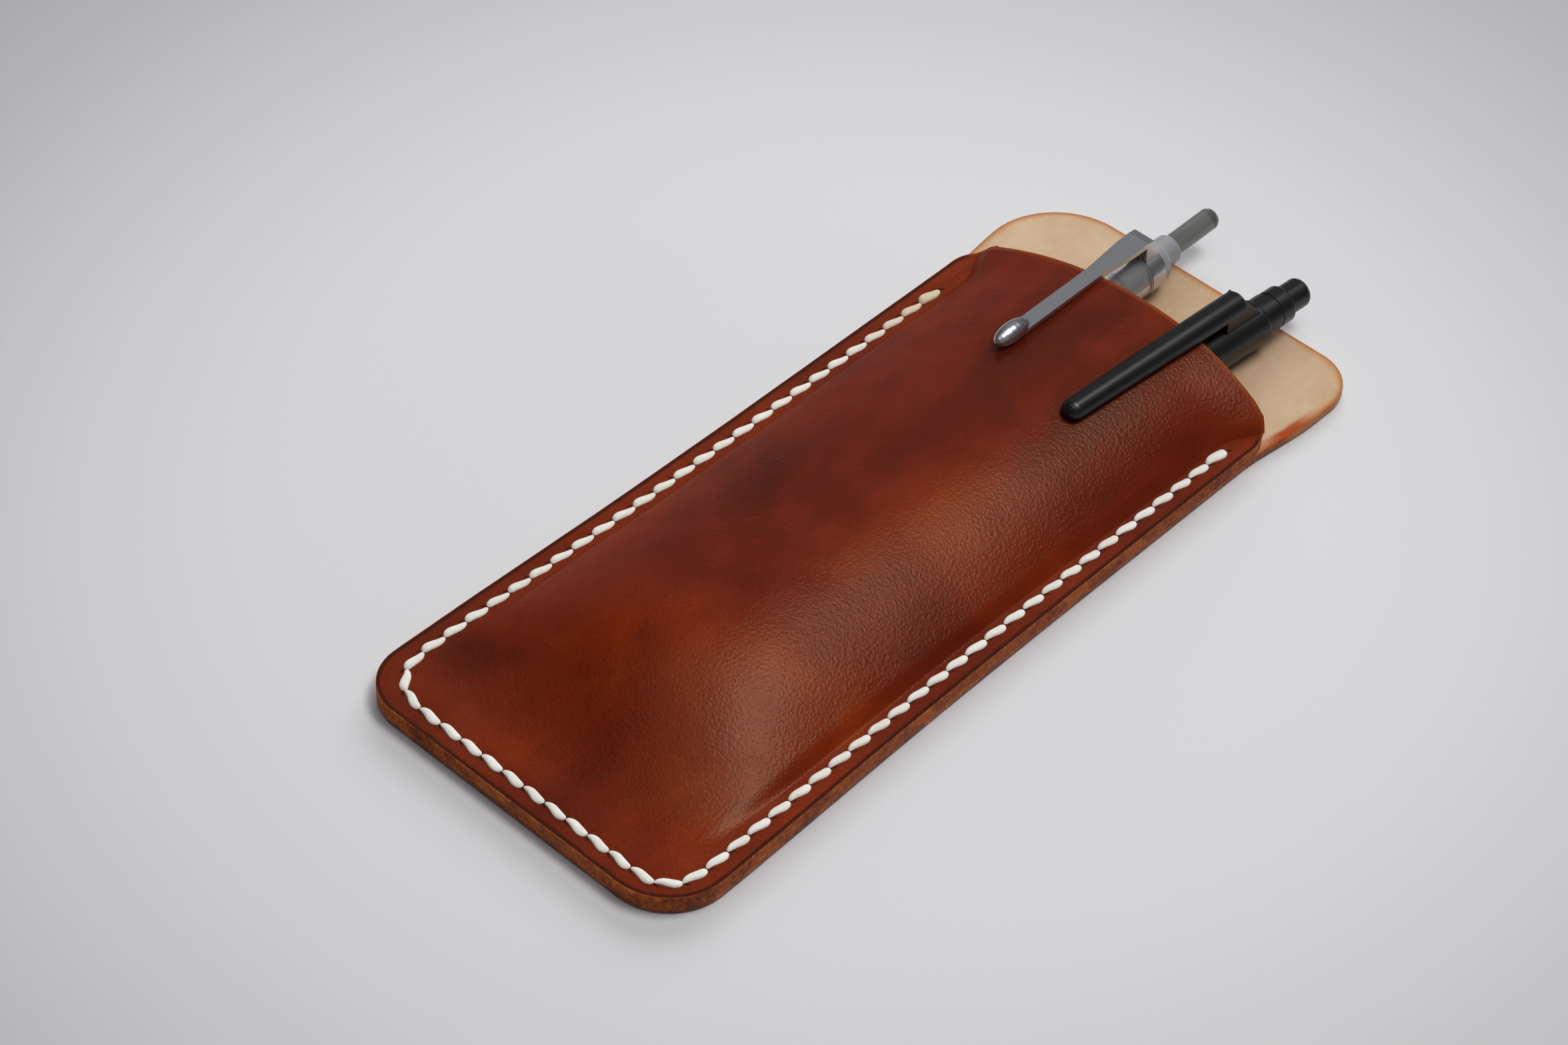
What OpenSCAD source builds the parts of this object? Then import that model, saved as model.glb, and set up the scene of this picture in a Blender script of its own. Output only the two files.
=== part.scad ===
// Pen sleeve: two leather panels sewn together round three sides, with two click pens in it.
// It lies on its back. X runs across, Y from the closed end to the mouth, Z up from the rest
// face, and the origin is the middle of the back panel's rest face. Sizes are millimetres.

/* [Leather] */
// Width of the sleeve at its closed end
sleeve_w = 64; // [61:0.5:70]
// Length of the back panel
back_l = 153.4; // [150:0.2:165]
// Length of the front panel, from the closed end to the mouth
front_l = 133.4; // [130:0.2:137]
// Thickness of each panel
leather_t = 1.7; // [1.5:0.05:2.2]
// Corner radius at the left of the closed end
left_corner_r = 8.2; // [7:0.1:10]
// Corner radius at the right of the closed end
right_corner_r = 10.5; // [8:0.1:13]
// Corner radius at the left of the back panel's free end
free_left_r = 13.4; // [7:0.1:14]
// Corner radius at the right of the back panel's free end
free_right_r = 7.8; // [7:0.1:14]
// Corner radius of the front panel at the left of the mouth
mouth_left_r = 6.3; // [3:0.1:8]
// Corner radius of the front panel at the right of the mouth
mouth_right_r = 3.8; // [3:0.1:8]
// How far the pens draw each long edge in
waist = 1.4; // [0.4:0.1:2]

/* [Seam] */
// Distance from the stitches to the edge
seam_margin = 3; // [2.4:0.05:3.2]
// Distance from one stitch to the next
stitch_pitch = 4.23; // [3.6:0.01:5.1]
// Width of a stitch where it lies flat
thread_w = 1.3; // [1:0.05:1.5]
// Thickness of a stitch where it lies flat
thread_t = 0.65; // [0.5:0.05:0.8]
// Length of each awl slit
slit_l = 1.6; // [1.2:0.05:1.8]
// Width of each awl slit
slit_w = 1; // [0.8:0.05:1.2]
// Radius of the seam's turn at the left corner
left_turn_r = 7.2; // [6:0.1:10]
// Radius of the seam's turn at the right corner
right_turn_r = 5.7; // [5:0.1:10]
// Least distance from the last stitch to the mouth
seam_stop = 8.6; // [7:0.1:14]

/* [Both pens] */
// How far the clips hold the pens up off the back panel
pen_lift = 0.7; // [0.3:0.1:1.2]

/* [Silver pen] */
// Radius of the clear barrel
silver_r = 3.9; // [3.6:0.05:4.2]
// Length with the button out
silver_l = 136.5; // [135:0.5:137]
// How far the button's end stands past the mouth
silver_out = 28.8; // [27:0.1:30]
// Middle of the pen, across the sleeve
silver_x = -6.1; // [-8:0.1:-5]
// Radius of the push button
silver_button_r = 1.85; // [1.6:0.05:2.1]
// Travel of the push button
silver_press = 3.5; // [2.5:0.1:4]
// Width of the clip at its root
silver_clip_w = 3.9; // [3:0.1:4.4]
// Length of the clip's arm
silver_clip_l = 37; // [33:0.5:39]

/* [Black pen] */
// Radius of the barrel
black_r = 3.75; // [3.5:0.05:4]
// Length with the knob out
black_l = 132.5; // [131:0.5:133]
// How far the knob's end stands past the mouth
black_out = 25.2; // [24:0.1:26]
// Middle of the pen at the mouth, across the sleeve
black_x = 13.2; // [12:0.1:14]
// Angle by which the pen leans to the right
black_lean = 4; // [3:0.1:5]
// Radius of the knob
black_knob_r = 2.45; // [2:0.05:2.6]
// Travel of the knob
black_press = 2.6; // [2:0.1:2.8]
// Width of the clip at its root
black_clip_w = 4.6; // [4:0.1:5]
// Length of the clip's arm
black_clip_l = 38; // [34:0.5:40]

/* [Hidden] */
$fn = 48;

// Gap between a pen and the leather over it, and between a clip and the leather under it
roof_gap = 0.6;
clip_gap = 0.25;
// Height that the front panel's arch has to spare over the thicker pen
crown = 0.4;
// Length along which the long edges draw in, and half the length along which they flare out again
waist_l = 41.5;
flare_l = 8;
// Where the front panel starts to rise, and the flat strip between the seam and the arch
rise_y = 8.25;
foot_in = 1.5;
// How far up a pen's side the arch has to clear it, as a share of the pen's radius
shoulder = 0.6;
// Radius of a pen's nose at its very tip
nose_r = 1.25;
// Least distance from where the front panel starts to rise to a pen's tip
tip_clear = 12;
// Radius of a refill's point at its tip, and how far it lies back in the nose
tip_r = 0.25;
point_back = 1;
// Angle of the awl slits to the seam
slit_angle = 40;
// Clearance of the thread in an awl slit, and of a stitch in the groove on the back
thread_gap = 0.1;
groove_gap = 0.15;
// Rows and columns of the front panel's surface
corner_rows = 6;
rise_rows = 11;
body_rows = 6;
flare_rows = 3;
mouth_rows = 5;
arch_cols = 22;
// Largest step below a cut, so that no cut ends in a face
cut = 1;

function smooth(t) = let (c = max(0, min(1, t))) c * c * (3 - 2 * c);

// Outline of the leather
function drawn_in(y) = 1 - exp(-pow(max(0, y - seam_margin) / waist_l, 2));
function flared(y) = smooth((y - front_l + flare_l) / (2 * flare_l));
function half_w(y) = sleeve_w / 2 - waist * drawn_in(y) * (1 - flared(y));
function corner_cut(d, r) = d >= r ? 0 : r - sqrt(r * r - (r - d) * (r - d));
function edge_x(y, l, r, end_r) = half_w(y) - corner_cut(y, r) - corner_cut(l - y, end_r);
function arc_rows(r, n) = [for (i = [0 : n]) r * (1 - cos(90 * i / n))];
function even_rows(from, to, n) = [for (i = [1 : n]) from + (to - from) * i / n];

// Seam: a line round three sides, measured along itself from the middle of the closed end
seam_hw = sleeve_w / 2 - seam_margin;
function turned_seam(s, r) =
    let (flat = seam_hw - r, arc = r * PI / 2, a = (s - flat) / r * 180 / PI)
    s <= flat ? [s, 0]
    : s <= flat + arc ? [flat + r * sin(a), r * (1 - cos(a))]
    : [seam_hw, r + s - flat - arc];
function seam_point(s) =
    let (q = turned_seam(abs(s), s < 0 ? left_turn_r : right_turn_r), y = q.y + seam_margin)
    [sign(s) * q.x * half_w(y) / (sleeve_w / 2), y];
function stitches(r) =
    floor((front_l - seam_stop - seam_margin - r + seam_hw - r + r * PI / 2) / stitch_pitch);
left_n = stitches(left_turn_r);
right_n = stitches(right_turn_r);
holes = [for (k = [-left_n : right_n]) seam_point(k * stitch_pitch)];

// Where the pens lie
silver_z = leather_t + pen_lift + silver_r;
black_z = leather_t + pen_lift + black_r;
least_tip_y = rise_y + tip_clear;
silver_tip_y = max(least_tip_y, front_l + silver_out - silver_l);
black_tip_y = max(least_tip_y, front_l + (black_out - black_l) * cos(black_lean));
function black_axis(y) = black_x + (y - front_l) * tan(black_lean);
black_tip_x = black_axis(black_tip_y);

// Arch of the front panel: the inner face clears both pens and comes down flat at the seam
peak = 2 * max(silver_r, black_r) + pen_lift + roof_gap + crown;
function foot_x(y) =
    let (by_seam = seam_hw * half_w(y) / (sleeve_w / 2),
         past_seam = smooth((y - front_l + seam_stop) / seam_stop))
    by_seam + (half_w(y) - by_seam) * past_seam - foot_in;
function arch_mid(y) = (silver_x + black_axis(y)) / 2;
function fullness(pen_off, r, span) =
    let (u = (pen_off + shoulder * r) / span,
         need = (pen_lift + r * (1 + sqrt(1 - shoulder * shoulder)) + roof_gap) / peak)
    max(2, ln(1 - need) / ln(u));
function flank(off, span, n) = off >= span ? 0 : 1 - pow(off / span, n);
function arch(x, y) =
    let (mid = arch_mid(y), off = abs(x - mid), right = x >= mid,
         span = foot_x(y) + (right ? -mid : mid), pen_off = mid - silver_x)
    flank(off, span, fullness(pen_off, right ? black_r : silver_r, span));

// The rise is as gentle as lets the pens' noses, and their points when pressed out, lie under it
function rise_for(x, y, top) =
    (y - rise_y) / sqrt(-ln(1 - (pen_lift + top + roof_gap) / peak / arch(x, y)));
rise_l = min(
    rise_for(silver_x, silver_tip_y, silver_r + nose_r),
    rise_for(black_tip_x, black_tip_y, black_r + nose_r),
    rise_for(silver_x, silver_tip_y + point_back - silver_press, silver_r + tip_r),
    rise_for(black_tip_x, black_tip_y + point_back - black_press, black_r + tip_r));
function rise(y) = peak * (1 - exp(-pow(max(0, y - rise_y) / rise_l, 2)));
function inner_z(x, y) = leather_t + rise(y) * arch(x, y);

// Front panel's surface: rows along Y, columns across, each row a bent line of one thickness
closed_r = max(left_corner_r, right_corner_r);
mouth_r = max(mouth_left_r, mouth_right_r);
front_rows = concat(
    arc_rows(closed_r, corner_rows),
    even_rows(closed_r, closed_r + 2 * rise_l, rise_rows),
    even_rows(closed_r + 2 * rise_l, front_l - 2 * seam_stop, body_rows),
    even_rows(front_l - 2 * seam_stop, front_l - mouth_r, flare_rows),
    [for (i = [1 : mouth_rows]) front_l - mouth_r * (1 - sin(90 * i / mouth_rows))]);
arch_shares = [for (i = [0 : arch_cols]) -cos(180 * i / arch_cols)];
function row_x(y) =
    let (left = edge_x(y, front_l, left_corner_r, mouth_left_r),
         right = edge_x(y, front_l, right_corner_r, mouth_right_r),
         share = foot_x(y) / half_w(y))
    concat([-left], [for (c = arch_shares) c * share * (c < 0 ? left : right)], [right]);
function row_line(y) = [for (x = row_x(y)) [x, inner_z(x, y)]];
function left_of(v) = [-v.y, v.x] / norm(v);
function row_normal(line, i) =
    let (last = len(line) - 1,
         a = left_of(line[max(1, i)] - line[max(0, i - 1)]),
         b = left_of(line[min(last, i + 1)] - line[min(last - 1, i)]),
         m = (a + b) / (1 + a * b))
    i == 0 || i == last ? [0, 1] : m;
function lower_row(y) = [for (p = row_line(y)) [p.x, y, p.y]];
function upper_row(y) =
    let (line = row_line(y))
    [for (i = [0 : len(line) - 1])
        let (p = line[i] + leather_t * row_normal(line, i)) [p.x, y, p.y]];
function outer_z(x, y) =
    let (d = 0.05, slope = (inner_z(x + d, y) - inner_z(x - d, y)) / (2 * d))
    inner_z(x, y) + leather_t * sqrt(1 + slope * slope);

// Closed surface over a grid of points: every row is a ring, and the ends are capped
function ring_faces(rows, n) = [
    for (r = [0 : rows - 2], i = [0 : n - 1])
        let (a = r * n + i, b = r * n + (i + 1) % n)
        each [[a, a + n, b], [b, a + n, b + n]]];
function cap_faces(first, n, flip) = [
    for (i = [1 : n - 2]) flip ? [first, first + i + 1, first + i] : [first, first + i, first + i + 1]];
function tube_faces(rows, n) = concat(
    ring_faces(rows, n), cap_faces(0, n, false), cap_faces((rows - 1) * n, n, true));

// A strip cap joins the upper and lower line of a flat row, without a fan over its bend
function strip_faces(first, half, flip) = [
    for (i = [0 : half - 2])
        let (a = first + i, b = first + 2 * half - 1 - i)
        each (flip ? [[a, a + 1, b], [a + 1, b - 1, b]] : [[a, b, a + 1], [a + 1, b, b - 1]])];

function backwards(list) = [for (i = [len(list) - 1 : -1 : 0]) list[i]];

module on_origin() translate([0, -back_l / 2, 0]) children();

function outline_side(l, r, end_r) =
    let (end_rows = backwards([for (d = arc_rows(end_r, 12)) l - d]),
         rows = concat(arc_rows(r, 12), even_rows(r, l - end_r, 30),
             [for (i = [1 : 12]) end_rows[i]]))
    [for (y = rows) [edge_x(y, l, r, end_r), y]];

module leather_outline(l, left_r, right_r, end_left_r, end_right_r) {
    left = outline_side(l, left_r, end_left_r);
    polygon(concat(outline_side(l, right_r, end_right_r),
        [for (p = backwards(left)) [-p.x, p.y]]));
}

// Each slit is a slanted diamond, as a stitching iron leaves it
module at_each_slit(z0, z1, shrink)
    for (k = [0 : len(holes) - 1]) {
        d = holes[min(len(holes) - 1, k + 1)] - holes[max(0, k - 1)];
        translate([holes[k].x, holes[k].y, z0]) rotate([0, 0, atan2(d.y, d.x) + slit_angle])
            linear_extrude(z1 - z0) polygon([
                [slit_l / 2 - 2 * shrink, 0], [0, slit_w / 2 - shrink],
                [2 * shrink - slit_l / 2, 0], [0, shrink - slit_w / 2]]);
    }

// The groove lets the stitches on the back lie level with the leather
module seam_strip(w) {
    steps = 3 * (left_n + right_n);
    total = (left_n + right_n) * stitch_pitch;
    line = [for (i = [0 : steps]) seam_point(-left_n * stitch_pitch + total * i / steps)];
    side = [for (i = [0 : steps])
        left_of(line[min(steps, i + 1)] - line[max(0, i - 1)]) * w / 2];
    polygon(concat([for (i = [0 : steps]) line[i] + side[i]],
        backwards([for (i = [0 : steps]) line[i] - side[i]])));
}

module back_panel() color([0.45, 0.17, 0.06]) on_origin() difference() {
    linear_extrude(leather_t)
        leather_outline(back_l, left_corner_r, right_corner_r, free_left_r, free_right_r);
    at_each_slit(-cut, leather_t + cut, 0);
    translate([0, 0, -cut]) linear_extrude(cut + thread_t + thread_gap)
        seam_strip(thread_w + 2 * groove_gap);
}

module front_panel() color([0.5, 0.18, 0.07]) on_origin() {
    cols = arch_cols + 3;
    points = [for (y = front_rows) each concat(upper_row(y), backwards(lower_row(y)))];
    rows = len(front_rows);
    polyhedron(points, concat(ring_faces(rows, 2 * cols),
        strip_faces(0, cols, true), strip_faces((rows - 1) * 2 * cols, cols, false)));
}

// Thread: flat stitches in a row, narrow where they dive into a hole and a little slanted
stitch_shares = [0.08, 0.35, 0.65, 0.92];
stitch_widths = [0.6, 1, 1, 0.6];
stitch_slant = 0.14;
function stitch_ring(k, j, shape, z) =
    let (a = holes[k], b = holes[k + 1], along = (b - a) / norm(b - a), side = left_of(b - a),
         t = stitch_shares[j], w = stitch_widths[j] * thread_w,
         mid = a + (b - a) * t + side * stitch_slant * thread_w * cos(180 * t))
    [for (q = shape) [mid.x + side.x * q.x * w, mid.y + side.y * q.x * w, z + q.y * stitch_widths[j]]];
function stitch_row(shape, z) = [
    for (k = [0 : len(holes) - 2], j = [0 : 3]) each stitch_ring(k, j, shape, z)];

module stitches_along(shape, z)
    polyhedron(stitch_row(shape, z), tube_faces(4 * (len(holes) - 1), len(shape)));

module thread() color([0.93, 0.91, 0.85]) on_origin() {
    top = 2 * leather_t;
    front_shape = [[-0.5, 0], [-0.46, thread_t * 0.6], [-0.2, thread_t],
        [0.2, thread_t], [0.46, thread_t * 0.6], [0.5, 0]];
    back_shape = [[-0.5, 0], [-0.4, -thread_t], [0.4, -thread_t], [0.5, 0]];
    stitches_along(backwards(front_shape), top);
    stitches_along(back_shape, thread_t);
    at_each_slit(thread_t * 0.5, top + thread_t * 0.25, thread_gap);
}

// Pens: each is drawn along +Y from its tip, then laid in the sleeve
module in_silver_place()
    on_origin() translate([silver_x, silver_tip_y, silver_z]) children();
module in_black_place()
    on_origin() translate([black_tip_x, black_tip_y, black_z]) rotate([0, 0, -black_lean]) children();

// A turned part: its outline holds [radius, distance from the tip]
module turned(outline) rotate([-90, 0, 0]) rotate_extrude() polygon(outline);

// Lengths that both pens share, measured from the tip
nose_l = 15;
spigot_l = 8;
grip_y = 18;
grip_l = 34;
refill_r = 1.15;
point_r = 0.45;
wall = 1;
fit_gap = 0.15;
spring_y = 9;
spring_l = 13;
spring_turns = 7;
wire_r = 0.2;
spring_r = refill_r + wire_r + fit_gap;
cam_l = 6;
grip_ribs = 7;

function bore_r(r) = r - wall;

module nose_cone(r) turned([
    [point_r + fit_gap, 0], [nose_r, 0], [nose_r + 0.35, 3.2], [nose_r + 0.75, 3.6],
    [r - 0.7, nose_l - 2], [r - 0.15, nose_l], [bore_r(r) - fit_gap, nose_l],
    [bore_r(r) - fit_gap, nose_l + spigot_l], [spring_r + wire_r + fit_gap, nose_l + spigot_l],
    [spring_r + wire_r + fit_gap, spring_y - wire_r], [point_r + 0.45, spring_y - wire_r],
    [point_r + 0.45, 3.8], [point_r + fit_gap, 3.8]]);

module barrel(r, l, top_y) turned([
    [bore_r(r), nose_l], [r - 0.15, nose_l], [r, nose_l + 1], [r, grip_y],
    [r - 0.6, grip_y], [r - 0.6, grip_y + grip_l], [r, grip_y + grip_l],
    [r, top_y], [bore_r(r), top_y]]);

module grip(r) {
    groove = 0.25;
    step = grip_l / grip_ribs;
    ribs = [for (i = [0 : grip_ribs - 1]) each [
        [r, grip_y + step * (i + 0.1)], [r, grip_y + step * (i + 0.75)],
        [r - groove, grip_y + step * (i + 0.83)], [r - groove, grip_y + step * (i + 0.97)]]];
    turned(concat([[r - 0.6, grip_y], [r - groove, grip_y]], ribs,
        [[r - 0.6, grip_y + grip_l]]));
}

module refill(l, top_y) turned([
    [0, point_back], [tip_r, point_back], [point_r, point_back + 1.6],
    [point_r, spring_y - 1.5], [point_r + 0.3, spring_y - 0.5],
    [point_r + 0.3, spring_y + 3.4], [refill_r, spring_y + 4],
    [refill_r, spring_y + spring_l + wire_r + fit_gap],
    [spring_r + wire_r, spring_y + spring_l + wire_r + fit_gap],
    [spring_r + wire_r, spring_y + spring_l + 1.5],
    [refill_r, spring_y + spring_l + 2], [refill_r, top_y], [0, top_y]]);

// Rotating cam: a turned plug with ratchet fins round its upper end
module cam(r, y) {
    hub = bore_r(r) - 0.9;
    turned([[0, y], [hub, y], [hub, y + cam_l - 2], [hub - 0.5, y + cam_l], [0, y + cam_l]]);
    for (i = [0 : 3]) rotate([0, 90 * i, 0])
        translate([-0.4, y + 0.6, hub - 0.2]) cube([0.8, cam_l - 3, 0.6]);
}

// Coil spring: a round wire swept along a helix
module coil_spring() {
    per_turn = 10;
    sides = 5;
    n = spring_turns * per_turn;
    points = [for (i = [0 : n], k = [0 : sides - 1])
        let (a = 360 * i / per_turn, b = 360 * k / sides, d = spring_r + wire_r * cos(b))
        [d * cos(a), spring_y + wire_r + fit_gap + (spring_l - wire_r - fit_gap) * i / n
            + wire_r * sin(b), d * sin(a)]];
    polyhedron(points, tube_faces(n + 1, sides));
}

// The clips' undersides clear the leather's outer face all along their arms
silver_clip_z = max([for (i = [0 : 4])
    outer_z(silver_x + silver_clip_w / 2, front_l - silver_clip_l * i / 4)]) + clip_gap - silver_z;
black_clip_z = max([for (i = [0 : 4], y = front_l - black_clip_l * i / 4)
    outer_z(black_axis(y) - black_clip_w / 2, y)]) + clip_gap - black_z;

// Silver pen
silver_head_l = 19.3;
silver_stem_l = 10.6;
silver_foot_l = 5;
silver_taper_l = 2.4;
silver_end_r = 2.6;
silver_chamfer = 0.3;
silver_clip_t = 0.8;
silver_ring_w = 3.4;
silver_groove = 0.5;
silver_arm_w = 2.6;
silver_flare_l = 14;
silver_tip_l = 7.5;
silver_tip_r = 1.65;
silver_plug_l = 12;
silver_collar_y = silver_l - silver_head_l;
silver_end_y = silver_l - silver_stem_l;

module silver_nose_cone() color([0.72, 0.73, 0.75]) in_silver_place() nose_cone(silver_r);
module silver_grip() color([0.35, 0.36, 0.38]) in_silver_place() grip(silver_r);
module silver_barrel() color([0.8, 0.82, 0.84, 0.6]) in_silver_place()
    barrel(silver_r, silver_l, silver_collar_y);

module silver_collar() color([0.8, 0.81, 0.83]) in_silver_place() {
    bore = silver_button_r + fit_gap;
    inside = bore_r(silver_r) - fit_gap;
    ring_end = silver_collar_y + silver_ring_w;
    turned([[bore, silver_collar_y - silver_foot_l], [inside, silver_collar_y - silver_foot_l],
        [inside, silver_collar_y], [silver_r - silver_groove, silver_collar_y],
        [silver_r - silver_groove, ring_end], [silver_r - silver_chamfer / 3, ring_end],
        [silver_r - silver_chamfer, ring_end + silver_taper_l / 2],
        [silver_end_r, ring_end + silver_taper_l],
        [silver_end_r - silver_chamfer / 3, silver_end_y - silver_chamfer],
        [silver_end_r - silver_chamfer, silver_end_y], [bore, silver_end_y]]);
}

// Pressed clip: a band round the collar, a shoulder, and an arm that narrows to a raised tip
module silver_clip() color([0.66, 0.67, 0.7]) in_silver_place() {
    band_y = silver_collar_y + fit_gap;
    root_y = silver_collar_y + silver_ring_w - fit_gap;
    seat_r = silver_r - silver_groove;
    low = silver_clip_z;
    high = low + silver_clip_t;
    tip_y = root_y - silver_clip_l;
    turned([[seat_r, band_y], [silver_r, band_y], [silver_r, root_y], [seat_r, root_y]]);
    difference() {
        intersection() {
            rotate([90, 0, 90]) linear_extrude(silver_clip_w, center = true) polygon([
                [root_y, 2], [root_y, silver_r + 0.6], [root_y - 1.6, high - 0.1],
                [root_y - 3, high + 0.1], [root_y - 12, high], [tip_y + silver_tip_l / 2, high],
                [tip_y + silver_tip_l / 2, low], [root_y - 12, low], [root_y - 3.2, low],
                [band_y, silver_r + 0.35], [band_y, 2]]);
            linear_extrude(3 * silver_r) polygon([
                [-silver_clip_w / 2, root_y], [-silver_clip_w / 2, root_y - 0.43 * silver_flare_l],
                [-silver_arm_w / 2, root_y - silver_flare_l], [-silver_arm_w / 2, tip_y],
                [silver_arm_w / 2, tip_y], [silver_arm_w / 2, root_y - silver_flare_l],
                [silver_clip_w / 2, root_y - 0.43 * silver_flare_l], [silver_clip_w / 2, root_y]]);
        }
        rotate([-90, 0, 0]) cylinder(r = seat_r, h = silver_l);
    }
    intersection() {
        translate([0, 0, low + silver_tip_r * 0.55]) turned([
            for (i = [0 : 12]) [silver_tip_r * sin(15 * i), tip_y + silver_tip_l / 2 * (1 - cos(15 * i))]]);
        translate([-silver_tip_r, tip_y, low]) cube([2 * silver_tip_r, silver_tip_l, 2 * silver_tip_r]);
    }
}

module silver_button() color([0.42, 0.42, 0.4, 0.8]) in_silver_place() {
    r = silver_button_r;
    foot_y = silver_collar_y - silver_plug_l;
    foot_r = bore_r(silver_r) - 2 * fit_gap;
    head_y = silver_collar_y - silver_foot_l - fit_gap;
    turned([[0, foot_y], [foot_r, foot_y], [foot_r, head_y], [r, head_y],
        [r, silver_l - 0.9], [r - 0.25, silver_l - 0.25], [r - 0.9, silver_l], [0, silver_l]]);
}

module silver_cam() color([0.86, 0.86, 0.84]) in_silver_place()
    cam(silver_r, silver_collar_y - silver_plug_l - cam_l);
module silver_refill() color([0.2, 0.22, 0.4]) in_silver_place()
    refill(silver_l, silver_collar_y - silver_plug_l - cam_l);
module silver_spring() color([0.75, 0.75, 0.77]) in_silver_place() coil_spring();

// Black pen
black_top_l = 19.6;
black_neck_l = 10.6;
black_ring_l = 7.4;
black_end_l = 4.4;
black_foot_l = 4;
black_plug_l = 10;
black_neck_r = 3.2;
black_head_l = 1.5;
black_collar_y = black_l - black_top_l;
black_neck_y = black_l - black_neck_l;
black_ring_y = black_l - black_ring_l;
black_end_y = black_l - black_end_l;

module black_nose_cone() color([0.12, 0.12, 0.13]) in_black_place() nose_cone(black_r);
module black_grip() color([0.09, 0.09, 0.1]) in_black_place() grip(black_r);
module black_barrel() color([0.14, 0.14, 0.15]) in_black_place()
    barrel(black_r, black_l, black_collar_y);

module black_collar() color([0.12, 0.12, 0.13]) in_black_place() {
    bore = black_knob_r + fit_gap;
    stem_bore = bore - 0.5;
    inside = bore_r(black_r) - fit_gap;
    seat_y = black_end_y - black_head_l - black_press - 2 * fit_gap;
    turned([[stem_bore, black_collar_y - black_foot_l], [inside, black_collar_y - black_foot_l],
        [inside, black_collar_y], [black_r, black_collar_y], [black_r, black_neck_y - 0.4],
        [black_r - 0.3, black_neck_y], [black_neck_r, black_neck_y],
        [black_neck_r, black_ring_y - 0.4], [black_neck_r - 0.25, black_ring_y - 0.2],
        [black_neck_r - 0.25, black_ring_y + 0.2], [black_neck_r - 0.1, black_ring_y + 0.4],
        [black_neck_r - 0.1, black_end_y - 0.3], [black_neck_r - 0.3, black_end_y],
        [bore, black_end_y], [bore, seat_y], [stem_bore, seat_y]]);
}

// Moulded clip: a half-round finger with a domed tip, and a sloping foot on the collar
module black_clip() color([0.15, 0.15, 0.16]) in_black_place() {
    root_y = black_collar_y + 4.2;
    tip_y = root_y - black_clip_l;
    root_r = black_clip_w / 2;
    end_r = root_r - 0.35;
    foot_w = 3.4;
    low = black_clip_z;
    intersection() {
        translate([0, 0, low]) turned(concat(
            [for (i = [0 : 6]) [end_r * sin(15 * i), tip_y + end_r * (1 - cos(15 * i))]],
            [[root_r, root_y - 7], [root_r, root_y - 0.5], [root_r - 0.4, root_y], [0, root_y]]));
        translate([-root_r, tip_y - cut, low])
            cube([2 * root_r, black_clip_l + 2 * cut, root_r + cut]);
    }
    difference() {
        rotate([90, 0, 90]) linear_extrude(foot_w, center = true) polygon([
            [root_y - 3.8, 0], [root_y - 3.8, low + 0.5], [root_y - 0.3, low + root_r - 0.5],
            [root_y + 3.2, black_r + 0.4], [root_y + 3.6, black_r], [root_y + 3.6, 0]]);
        rotate([-90, 0, 0]) cylinder(r = black_r, h = black_l);
    }
}

module black_knob() color([0.1, 0.1, 0.11]) in_black_place() {
    r = black_knob_r;
    stem_r = r - 0.5;
    foot_y = black_collar_y - black_plug_l;
    foot_r = bore_r(black_r) - 2 * fit_gap;
    turned([[0, foot_y], [foot_r, foot_y], [foot_r, black_collar_y - black_foot_l - fit_gap],
        [stem_r, black_collar_y - black_foot_l - fit_gap], [stem_r, black_end_y - black_head_l],
        [r, black_end_y - black_head_l], [r, black_l - 0.7], [r - 0.3, black_l - 0.15],
        [r - 0.8, black_l], [0, black_l]]);
}

module black_cam() color([0.86, 0.86, 0.84]) in_black_place()
    cam(black_r, black_collar_y - black_plug_l - cam_l);
module black_refill() color([0.1, 0.1, 0.12]) in_black_place()
    refill(black_l, black_collar_y - black_plug_l - cam_l);
module black_spring() color([0.75, 0.75, 0.77]) in_black_place() coil_spring();

back_panel();
front_panel();
thread();
silver_nose_cone();
silver_grip();
silver_barrel();
silver_collar();
silver_clip();
silver_button();
silver_cam();
silver_refill();
silver_spring();
black_nose_cone();
black_grip();
black_barrel();
black_collar();
black_clip();
black_knob();
black_cam();
black_refill();
black_spring();
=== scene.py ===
import math
import bpy
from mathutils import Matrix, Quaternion, Vector, kdtree, noise


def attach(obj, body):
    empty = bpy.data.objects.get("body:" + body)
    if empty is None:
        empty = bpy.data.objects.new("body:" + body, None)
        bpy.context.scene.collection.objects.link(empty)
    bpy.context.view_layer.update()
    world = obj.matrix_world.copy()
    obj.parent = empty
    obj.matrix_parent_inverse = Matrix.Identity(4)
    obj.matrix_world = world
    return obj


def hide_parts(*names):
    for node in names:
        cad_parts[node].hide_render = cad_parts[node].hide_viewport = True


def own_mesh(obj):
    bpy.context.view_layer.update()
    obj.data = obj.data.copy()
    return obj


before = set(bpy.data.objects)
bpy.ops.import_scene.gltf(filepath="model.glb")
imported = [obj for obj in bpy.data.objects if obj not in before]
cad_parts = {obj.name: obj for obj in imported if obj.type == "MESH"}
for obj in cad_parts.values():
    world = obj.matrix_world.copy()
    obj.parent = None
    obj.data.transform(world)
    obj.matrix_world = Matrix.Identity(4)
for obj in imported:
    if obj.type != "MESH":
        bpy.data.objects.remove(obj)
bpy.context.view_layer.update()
MM = 0.001

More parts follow.
